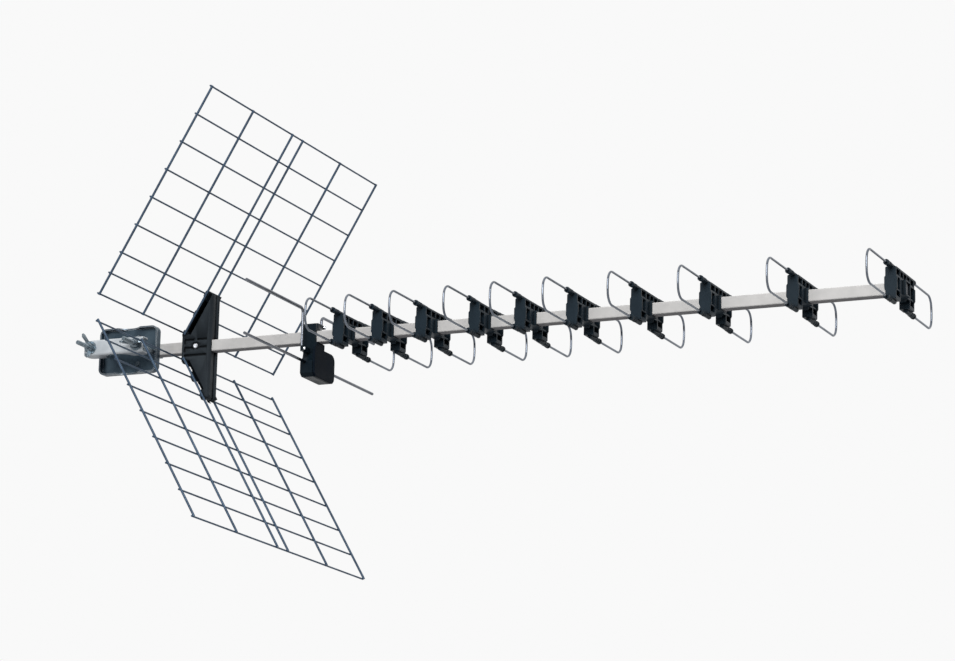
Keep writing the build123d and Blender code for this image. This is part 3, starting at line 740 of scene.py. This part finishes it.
    @classmethod
    def thread(
        cls, name: str, start: Triple, axis: Vector, radius: float, pitch: float, length: float
    ) -> Piece:
        """Wind a screw thread's ridge.

        Args:
            name: Name of the thread.
            start: Point on the axis where the thread starts, in millimetres.
            axis: Direction in which the thread runs.
            radius: Outer radius in millimetres.
            pitch: Rise for each turn in millimetres.
            length: Length along the axis in millimetres.

        Returns:
            The thread, closed at both ends.
        """
        cls.clear()
        bpy.ops.mesh.primitive_circle_add(vertices=3, radius=pitch * cls.RIDGE_SIZE * MM, fill_type="NGON")
        piece = cls.take(name)
        piece.data.transform(Matrix.Rotation(math.radians(90), 4, "X"))
        piece.data.transform(Matrix.Translation(((radius - pitch * cls.RIDGE_SINK) * MM, 0, 0)))
        cls.modify(
            piece, "SCREW", axis="Z", screw_offset=pitch * MM, angle=math.tau,
            steps=cls.THREAD_STEPS, render_steps=cls.THREAD_STEPS, iterations=max(1, int(length / pitch)),
            use_merge_vertices=True, merge_threshold=cls.THREAD_MERGE,
        )
        turn = AXIS_Z.rotation_difference(axis).to_matrix().to_4x4()
        piece.data.transform(Matrix.Translation(Vector(start) * MM) @ turn)
        bpy.ops.object.mode_set(mode="EDIT")
        cls.done()
        return piece


def finish_piece(piece: Piece, finishes: Finishes, finish: str, angle: float = TRIM_ANGLE) -> None:
    """Shade, dress and mount a new piece.

    Args:
        piece: The finished mesh.
        finishes: All finishes.
        finish: Name of the finish.
        angle: Largest angle that is shaded smooth, in degrees.
    """
    Bench.only(piece)
    bpy.ops.object.shade_smooth_by_angle(angle=math.radians(angle))
    finishes.dress(piece, finish)
    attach(piece, "root")
    LOG.info("%s: %d faces", piece.name, len(piece.data.polygons))


@dataclass
class Boom:
    """Square boom with its two end caps."""

    tube_finish: str = "boom_extrusion"
    cap_finish: str = "cap_plastic"

    def build(self, finishes: Finishes) -> None:
        """Dress the boom and its caps."""
        finishes.dress_nodes(self.tube_finish, "boom_tube")
        finishes.dress_nodes(self.cap_finish, "boom_cap_rear", "boom_cap_front")


@dataclass
class Reflector:
    """Two mesh panels and the bracket that carries them, in millimetres and degrees.

    Attributes:
        inner_z: Height of each panel's inner edge from the boom's axis.
        long_y: Places of the long wires across the boom.
        rib_s, band_s: Ends of the ribs and of the upper band up the slope.
        rib_upper, rib_lower, band: Their rear and front from the panel's long wires.
        plate_face: Outer face of the bracket's half from the boom's axis.
        grooves: Rear and front in X, bottom and top in Z of each groove in the plate.
        groove_tool: Thickness of the block that cuts a groove.
        merge: Distance in metres within which the copied node's points are merged.
    """

    inner_z: float = 17.8
    angle: float = 30.0
    cell: float = 31.0
    large_cell: float = 41.7
    large_cells: int = 7
    long_y: tuple[float, ...] = (-250.0, -132.7, -15.6, 15.6, 132.7, 250.0)
    weld_radius: float = 1.75
    weld_drop: float = -1.35
    weld_shape: Triple = (1.15, 1.0, 0.8)
    weld_segments: int = 10
    weld_rings: int = 6
    rib_face: float = 12.45
    rib_depth: float = 3.3
    rib_round: float = 0.35
    rib_s: Pair = (4.6, 53.4)
    rib_upper: Pair = (-1.0, 7.0)
    rib_lower: Pair = (1.7, 5.0)
    band: Pair = (1.9, 7.0)
    band_s: Pair = (2.0, 66.0)
    plate_face: float = 12.2
    groove_depth: float = 2.5
    groove_tool: float = 4.0
    merge: float = 0.000002
    grooves: tuple[tuple[float, float, float, float], ...] = (
        (-2.2, 13.5, 7.4, 10.6), (17.5, 33.0, 7.4, 10.6), (-2.2, 11.3, -3.8, -0.6), (19.7, 33.0, -3.8, -0.6),
        (-2.2, 33.0, -14.6, -11.4), (-2.6, 0.4, 3.0, 8.0), (-2.6, 0.4, -8.2, -3.0),
    )

    def build(self, finishes: Finishes) -> None:
        """Dress the mesh and its screw, and add the weld spots, the ribs and the bracket's plates.

        Args:
            finishes: All finishes.
        """
        finishes.dress_nodes("reflector_wire", "reflector_mesh_upper", "reflector_mesh_lower")
        finishes.dress_nodes("bright_screw", "bracket_screw", "bracket_nut")
        for panel in Panel:
            self._welds(panel, finishes)
        for side in Side:
            ribs = [
                self._rib(Panel.UPPER, side, self.rib_s, self.rib_upper),
                self._rib(Panel.LOWER, side, self.rib_s, self.rib_lower),
                self._rib(Panel.UPPER, side, self.band_s, self.band),
            ]
            joined = Bench.join(f"bracket_ribs_{side.name.lower()}", ribs)
            # The rims wear near-black plastic as painted shade.
            finish_piece(joined, finishes, "rib_plastic")
            self._plate(side, finishes)

    def _plate(self, side: Side, finishes: Finishes) -> None:
        """Model a half of the bracket with its grooves at their full width.

        Args:
            side: The bracket's half.
            finishes: All finishes.
        """
        node = f"reflector_bracket_{side.name.lower()}"
        name = f"bracket_plate_{side.name.lower()}"
        plate = bpy.data.objects.new(name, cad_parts[node].data.copy())
        bpy.context.scene.collection.objects.link(plate)
        Bench.only(plate)
        bpy.ops.object.mode_set(mode="EDIT")
        bpy.ops.mesh.select_all(action="SELECT")
        bpy.ops.mesh.remove_doubles(threshold=self.merge)
        Bench.done()
        cut_y = BOOM_Y + side.value * (self.plate_face - self.groove_depth + self.groove_tool / 2)
        for x0, x1, z0, z1 in self.grooves:
            middle = (REFLECTOR_X + (x0 + x1) / 2, cut_y, (z0 + z1) / 2)
            Bench.cut(plate, Bench.block("groove_tool", middle, (x1 - x0, self.groove_tool, z1 - z0)))
        finish_piece(plate, finishes, "bracket_plastic", PLATE_ANGLE)
        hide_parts(node)

    def _frame_of(self, panel: Panel) -> tuple[Vector, Vector, Vector]:
        """Find the place and directions of a panel.

        Args:
            panel: The panel.

        Returns:
            Its inner edge's middle in millimetres, the way up its slope and the way out of its front.
        """
        lean = math.radians(self.angle)
        edge = Vector((REFLECTOR_X, BOOM_Y, panel.value * self.inner_z))
        along = Vector((math.sin(lean), 0, panel.value * math.cos(lean)))
        out = Vector((math.cos(lean), 0, -panel.value * math.sin(lean)))
        return edge, along, out

    def _rib(self, panel: Panel, side: Side, run: Pair, span: Pair) -> Piece:
        """Model a rim along the bracket's slope.

        Args:
            panel: The panel along which the rim runs.
            side: The bracket's half.
            run: Its ends up the slope.
            span: Its rear and its front from the panel's long wires.

        Returns:
            The rim.
        """
        edge, along, out = self._frame_of(panel)
        (low, high), (rear, front) = run, span
        centre_y = side.value * (self.rib_face - self.rib_depth / 2)
        middle = Vector(((low + high) / 2, centre_y, (rear + front) / 2))
        rib = Bench.block("rib", (0, 0, 0), (high - low, self.rib_depth, front - rear))
        Bench.modify(rib, "BEVEL", width=self.rib_round * MM, segments=2)
        turn = Matrix((along, AXIS_Y, out)).transposed().to_4x4()
        rib.data.transform(Matrix.Translation((edge + turn.to_3x3() @ middle) * MM) @ turn)
        if turn.determinant() < 0:
            rib.data.flip_normals()
        return rib

    def _welds(self, panel: Panel, finishes: Finishes) -> None:
        """Add a flattened spot where each long wire is welded to a cross wire.

        Args:
            panel: The panel to add them to.
            finishes: All finishes.
        """
        Bench.clear()
        bpy.ops.mesh.primitive_uv_sphere_add(
            segments=self.weld_segments, ring_count=self.weld_rings, radius=self.weld_radius * MM
        )
        seed = Bench.take("weld_seed")
        bpy.ops.object.mode_set(mode="EDIT")
        bpy.ops.mesh.select_all(action="SELECT")
        bpy.ops.transform.resize(value=self.weld_shape)
        bpy.ops.object.mode_set(mode="OBJECT")
        edge, along, out = self._frame_of(panel)
        turn = Matrix((AXIS_Y, along, out)).transposed().to_4x4()
        rows = [0.0, self.cell] + [2 * self.cell + self.large_cell * i for i in range(self.large_cells)]
        spots = []
        for s in rows:
            for y in self.long_y:
                at = edge + Vector((0, y, 0)) + along * s + out * self.weld_drop
                spots.append(Bench.copy(seed, "weld", Matrix.Translation(at * MM) @ turn))
        bpy.data.objects.remove(seed)
        piece = Bench.join(f"weld_spots_{panel.name.lower()}", spots)
        bpy.ops.object.mode_set(mode="EDIT")
        Bench.done()
        finish_piece(piece, finishes, "reflector_wire", WELD_ANGLE)


@dataclass
class Dipole:
    """Two upper and two lower rods on the connection box under the boom, in millimetres.

    Attributes:
        box_rear: Rear face of the box in X.
        socket_v, socket_z: Place of the socket across the boom and in height.
        hex_t: Thickness of the socket's hexagon.
        thread_start, thread_short: Gaps from the hexagon and in all that the thread leaves bare.
        neck_points: Three points on the near side of the box's neck, across the boom and in height.
        neck_x: Rear and front of the neck's wall.
        neck_inner: Its far side across the boom.
        neck_above, neck_back: How far it ends below the first point and stands back from the round.
    """

    box_rear: float = 270.3
    socket_v: float = 29.0
    socket_z: float = -30.0
    socket_length: float = 11.0
    hex_t: float = 2.5
    thread_r: float = 4.7
    thread_pitch: float = 0.8
    thread_start: float = 0.3
    thread_short: float = 1.4
    neck_points: tuple[Pair, Pair, Pair] = ((-11.45, -21.0), (-13.25, -30.3), (-18.7, -36.0))
    neck_x: Pair = (279.3, 288.5)
    neck_inner: float = -10.4
    neck_above: float = 2.0
    neck_back: float = 0.08
    neck_sides: int = 160

    def build(self, finishes: Finishes) -> None:
        """Dress the dipole, line the box's neck and wind the socket's thread.

        Args:
            finishes: All finishes.
        """
        finishes.dress_nodes("dipole_wire", "dipole_rod_near", "dipole_rod_far")
        finishes.dress_nodes("dipole_wire", "dipole_lower_rod_near", "dipole_lower_rod_far")
        finishes.dress_nodes("box_plastic", "dipole_housing")
        finishes.dress_nodes("cover_plastic", "dipole_cover")
        finishes.dress_nodes("bright_screw", "dipole_screws")
        finishes.dress_nodes("nickel", "coax_socket")
        finishes.dress_nodes("brass_strip", "contact_strip_near", "contact_strip_far")
        finishes.dress_nodes("board_lacquer", "balun_board")
        start = (self.box_rear - self.hex_t - self.thread_start, BOOM_Y + self.socket_v, self.socket_z)
        length = self.socket_length - self.hex_t - self.thread_short
        piece = Bench.thread("socket_thread", start, -AXIS_X, self.thread_r, self.thread_pitch, length)
        finish_piece(piece, finishes, "nickel", THREAD_ANGLE)
        finish_piece(self._neck(), finishes, "box_plastic")

    def _neck(self) -> Piece:
        """Model the wall behind the hollow of the box's neck.

        Returns:
            A block whose near side follows the neck's round.
        """
        centre_v, centre_z, radius = self._neck_round()
        (_, top), _, (near, bottom) = self.neck_points
        top -= self.neck_above
        x0, x1 = self.neck_x
        middle = ((x0 + x1) / 2, BOOM_Y + (near + self.neck_inner) / 2, (bottom + top) / 2)
        wall = Bench.block("box_neck_wall", middle, (x1 - x0, self.neck_inner - near, top - bottom))
        centre, radius = (middle[0], BOOM_Y + centre_v, centre_z), radius + self.neck_back
        Bench.cut(wall, Bench.rod("round", centre, radius, 2 * (x1 - x0), AXIS_X, self.neck_sides))
        return wall

    def _neck_round(self) -> Triple:
        """Find the circle through the neck's three points.

        Returns:
            Its centre across the boom and in height, and its radius.
        """
        (ax, ay), (bx, by), (cx, cy) = self.neck_points
        spread = 2 * (ax * (by - cy) + bx * (cy - ay) + cx * (ay - by))
        a2, b2, c2 = ax * ax + ay * ay, bx * bx + by * by, cx * cx + cy * cy
        centre_v = (a2 * (by - cy) + b2 * (cy - ay) + c2 * (ay - by)) / spread
        centre_z = (a2 * (cx - bx) + b2 * (ax - cx) + c2 * (bx - ax)) / spread
        return centre_v, centre_z, math.hypot(ax - centre_v, ay - centre_z)


@dataclass
class Director:
    """One bow of wire in two halves, with its moulded holder."""

    number: int

    def build(self, finishes: Finishes) -> None:
        """Dress the rods and the holder."""
        rods = [f"director_rod_{self.number:02d}_{side.name.lower()}" for side in Side]
        finishes.dress_nodes("director_wire", *rods)
        finishes.dress_nodes("holder_plastic", f"director_holder_{self.number:02d}")


@dataclass
class HolderTrim:
    """Small moulded details that repeat on every director holder, in millimetres.

    Attributes:
        ring_v: Places of the rings across the boom.
        ring_rise, ring_width, ring_inset, ring_crown: Sizes of a ring and of its raised middle.
        boss_v: Inner and outer end of a barrel's closed root.
        boss_sink: How far the root stays inside the barrel's surface.
        latch_v, latch_z: Place of the latch across the boom and in height.
        latch_taper, latch_step: Scale of its lower face, and the hook's step outward and down.
    """

    rod_z: float = 22.0
    barrel_r: float = 3.2
    sides: int = 28
    ring_v: Pair = (42.5, 48.0)
    ring_rise: float = 0.45
    ring_width: float = 1.3
    ring_inset: float = 0.4
    ring_crown: float = 0.25
    boss_v: Pair = (22.4, 31.0)
    boss_sink: float = 0.1
    boss_round: float = 0.9
    latch_v: float = 13.5
    latch_z: float = -11.0
    latch_size: Triple = (9.0, 5.0, 2.2)
    latch_taper: Triple = (0.8, 0.45, 1.0)
    latch_step: Pair = (0.8, -1.2)
    latch_round: float = 0.25

    def build(self, finishes: Finishes) -> None:
        """Model the trim of the first holder and copy it to the others.

        Args:
            finishes: All finishes.
        """
        first = self._model(DIRECTOR_X[0])
        for number, x in enumerate(DIRECTOR_X, start=1):
            move = Matrix.Translation(((x - DIRECTOR_X[0]) * MM, 0, 0))
            piece = Bench.copy(first, f"holder_trim_{number:02d}", move)
            finish_piece(piece, finishes, "holder_plastic")
        bpy.data.objects.remove(first)

    def _model(self, x: float) -> Piece:
        """Model the rings, roots and latches at one place.

        Args:
            x: Place of the holder along the boom in millimetres.

        Returns:
            The joined trim.
        """
        parts = []
        for side in Side:
            for z in (self.rod_z, -self.rod_z):
                for v in self.ring_v:
                    parts.append(self._ring((x, BOOM_Y + side.value * v, z)))
                parts.append(self._boss((x, BOOM_Y + side.value * sum(self.boss_v) / 2, z)))
            parts.append(self._latch(x, side))
        return Bench.join("holder_trim_seed", parts)

    def _ring(self, centre: Triple) -> Piece:
        """Model one raised ring on a rod's barrel.

        Args:
            centre: Centre of the ring.

        Returns:
            The ring.
        """
        ring = Bench.rod("ring", centre, self.barrel_r + self.ring_rise, self.ring_width, AXIS_Y, self.sides)
        for direction in (AXIS_Y, -AXIS_Y):
            Bench.pick(ring, direction)
            bpy.ops.mesh.inset(thickness=self.ring_inset * MM)
            bpy.ops.transform.translate(value=direction * self.ring_crown * MM)
            Bench.done()
        return ring

    def _boss(self, centre: Triple) -> Piece:
        """Model the closed root of a barrel over the end of its wire.

        Args:
            centre: Centre of the root.

        Returns:
            The root.
        """
        length = self.boss_v[1] - self.boss_v[0]
        boss = Bench.rod("boss", centre, self.barrel_r - self.boss_sink, length, AXIS_Y, self.sides)
        Bench.modify(boss, "BEVEL", width=self.boss_round * MM, segments=3)
        return boss

    def _latch(self, x: float, side: Side) -> Piece:
        """Model the snap hook under the boom.

        Args:
            x: Place of the holder along the boom.
            side: Side of the boom that the hook is on.

        Returns:
            The hook.
        """
        latch = Bench.block("latch", (x, BOOM_Y + side.value * self.latch_v, self.latch_z), self.latch_size)
        Bench.pick(latch, -AXIS_Z)
        bpy.ops.transform.resize(value=self.latch_taper)
        outward, down = self.latch_step
        step = (0, side.value * outward * MM, down * MM)
        bpy.ops.mesh.extrude_region_move(TRANSFORM_OT_translate={"value": step})
        Bench.done()
        Bench.modify(latch, "BEVEL", width=self.latch_round * MM, segments=2)
        return latch


@dataclass
class MastClamp:
    """Pan, saddle, bolts and wing nuts that grip the mast, in millimetres.

    Attributes:
        pan_near: Face of the pan in Y from which the threads' start is measured.
        tip_y: Tip of the bolts in Y.
        thread_start, thread_short: Gaps from the pan's face and from the bolt's tip.
    """

    bolt_x: float = 36.0
    bolt_z: float = -3.0
    bolt_r: float = 3.0
    bolt_pitch: float = 1.0
    pan_near: float = 22.8
    tip_y: float = -61.5
    thread_start: float = 3.0
    thread_short: float = 1.6

    def build(self, finishes: Finishes) -> None:
        """Dress the clamp and thread its bolts.

        Args:
            finishes: All finishes.
        """
        finishes.dress_nodes("zinc_sheet", "clamp_pan", "boom_keeper")
        finishes.dress_nodes("zinc_channel", "clamp_saddle")
        finishes.dress_nodes("zinc_fastener", "clamp_bolts", "clamp_washers", "clamp_wing_nuts")
        finishes.dress_nodes("zinc_fastener", "keeper_rivets")
        for label, x in (("rear", -self.bolt_x), ("front", self.bolt_x)):
            start = (x, self.pan_near - self.thread_start, self.bolt_z)
            length = start[1] - self.tip_y - self.thread_short
            piece = Bench.thread(f"bolt_thread_{label}", start, -AXIS_Y, self.bolt_r, self.bolt_pitch, length)
            finish_piece(piece, finishes, "zinc_fastener", THREAD_ANGLE)


@dataclass
class PhotoCamera:
    """Camera at the photograph's place, in metres."""

    place: Triple = (2.400, -4.0997, -1.1075)
    right: Triple = (0.9127, 0.4079, 0.0236)
    up: Triple = (0.0751, -0.2244, 0.9716)
    focal_px: float = 3500.0
    width_px: float = 955.0
    sensor_mm: float = 36.0
    clip: Pair = (0.1, 60.0)

    def build(self) -> None:
        """Add the camera and make it the scene's."""
        data = bpy.data.cameras.new("photo_camera")
        data.sensor_width = self.sensor_mm
        data.lens = self.focal_px / self.width_px * data.sensor_width
        data.clip_start, data.clip_end = self.clip
        camera = bpy.data.objects.new("photo_camera", data)
        right = Vector(self.right).normalized()
        up = Vector(self.up)
        up = (up - right * up.dot(right)).normalized()
        turn = Matrix((right, up, right.cross(up))).transposed().to_4x4()
        camera.matrix_world = Matrix.Translation(self.place) @ turn
        bpy.context.scene.collection.objects.link(camera)
        bpy.context.scene.camera = camera


@dataclass(frozen=True)
class SoftLamp:
    """Square lamp with its place, aim and side in metres and its power in watts."""

    name: str
    place: Triple
    aim: Triple
    size: float
    power: float

    def build(self) -> None:
        """Add the lamp to the scene."""
        data = bpy.data.lights.new(self.name, "AREA")
        data.shape = "SQUARE"
        data.size = self.size
        data.energy = self.power
        lamp = bpy.data.objects.new(self.name, data)
        lamp.location = self.place
        lamp.rotation_mode = "QUATERNION"
        lamp.rotation_quaternion = (Vector(self.aim) - Vector(self.place)).to_track_quat("-Z", "Y")
        bpy.context.scene.collection.objects.link(lamp)


@dataclass
class Studio:
    """Pale floor, soft lamps and a plain bright surround, in metres.

    Attributes:
        fade: Distances from the middle between which the floor turns into the surround's white.
        floor_glow: Share of that white in the floor's middle.
        floor_seen, floor_bounce: Colour of the floor to the eye and to bounced light.
        sky: Height, as a share from straight down to straight up, and colour of the lighting's stops.
    """

    floor_z: float = -1.40
    floor_radius: float = 16.0
    floor_sides: int = 96
    floor_roughness: float = 0.9
    fade: Pair = (7.0, 14.0)
    floor_glow: float = 0.5
    floor_seen: Triple = (0.90, 0.90, 0.89)
    floor_bounce: Triple = (0.14, 0.14, 0.15)
    paper: Triple = (0.947, 0.947, 0.947)
    sky: tuple[tuple[float, Triple], ...] = (
        (0.32, (0.05, 0.053, 0.06)), (0.48, (0.34, 0.35, 0.37)), (0.62, (0.80, 0.81, 0.83))
    )
    sky_strength: float = 0.48
    lamps: tuple[SoftLamp, ...] = (
        SoftLamp("overhead", (0.6, -0.4, 2.6), (0.5, 0.0, 0.0), 3.2, 16.0),
        SoftLamp("key", (1.25, -3.25, 1.2), (0.85, 0.0, 0.0), 1.6, 74.0),
    )

    def build(self) -> None:
        """Add the floor, the lamps and the world."""
        self._floor()
        for lamp in self.lamps:
            lamp.build()
        self._world()
        bpy.context.scene.view_settings.view_transform = "Standard"

    def _floor(self) -> None:
        """Lay the floor: pale where it is seen or mirrored and white far out.

        It is darker to bounced light, and clear from below.
        """
        Bench.clear()
        bpy.ops.mesh.primitive_circle_add(
            vertices=self.floor_sides, radius=self.floor_radius, fill_type="NGON",
            location=(0.0, 0.0, self.floor_z),
        )
        floor = Bench.settle(Bench.take("studio_floor"))
        shader = Shader("studio_floor")
        shown = shader.shown()
        colour = shader.blend(shown, self.floor_bounce, self.floor_seen)
        shader.feed(shader.surface, {"Base Color": colour, "Roughness": self.floor_roughness})
        reach = shader.add("VectorMath", {0: shader.coords()}, operation="LENGTH").outputs["Value"]
        near, away = self.fade
        inputs = {"Value": reach, "From Min": near, "From Max": away, "To Min": self.floor_glow}
        far = shader.add("MapRange", inputs, interpolation_type="SMOOTHSTEP").outputs["Result"]
        white = shader.add("Emission", {"Color": rgba(self.paper)})
        share = shader.calc("MULTIPLY", far, shown)
        lit = shader.add("MixShader", {0: share, 1: shader.surface.outputs[0], 2: white.outputs[0]})
        below = shader.add("NewGeometry").outputs["Backfacing"]
        clear = shader.add("BsdfTransparent")
        mix = shader.add("MixShader", {0: below, 1: lit.outputs[0], 2: clear.outputs[0]})
        shader.feed(shader.tree.nodes["Material Output"], {"Surface": mix.outputs[0]})
        floor.data.materials.append(shader.material)

    def _world(self) -> None:
        """Make the surround: white where it is seen or mirrored, and brighter above as a light."""
        world = bpy.data.worlds.new("studio")
        bpy.context.scene.world = world
        world.use_nodes = True
        graph = Graph(world.node_tree)
        split = graph.add("SeparateXYZ", {0: graph.add("TexCoord").outputs["Generated"]})
        ramp = graph.add("ValToRGB", {"Fac": graph.spread(split.outputs["Z"], -1.0, 1.0)})
        stops = ramp.color_ramp.elements
        lowest, middle, highest = self.sky
        for stop, (height, colour) in zip(stops, (lowest, highest)):
            stop.position, stop.color = height, rgba(colour)
        stops.new(middle[0]).color = rgba(middle[1])
        light = graph.tree.nodes["Background"]
        graph.feed(light, {"Color": ramp.outputs["Color"], "Strength": self.sky_strength})
        seen = graph.add("Background", {"Color": rgba(self.paper)})
        mix = graph.add("MixShader", {0: graph.shown(), 1: light.outputs[0], 2: seen.outputs[0]})
        graph.feed(graph.tree.nodes["World Output"], {"Surface": mix.outputs[0]})


def main() -> None:
    """Build the scene, one sub-assembly after another."""
    logging.basicConfig(level=logging.INFO, format="%(name)s: %(message)s")
    PhotoCamera().build()
    Studio().build()
    finishes = Finishes()
    for part in (MastClamp(), Boom(), Reflector(), Dipole()):
        part.build(finishes)
        LOG.info("%s built", type(part).__name__)
    for number in range(1, len(DIRECTOR_X) + 1):
        Director(number).build(finishes)
    HolderTrim().build(finishes)


if __name__ == "__main__":
    main()
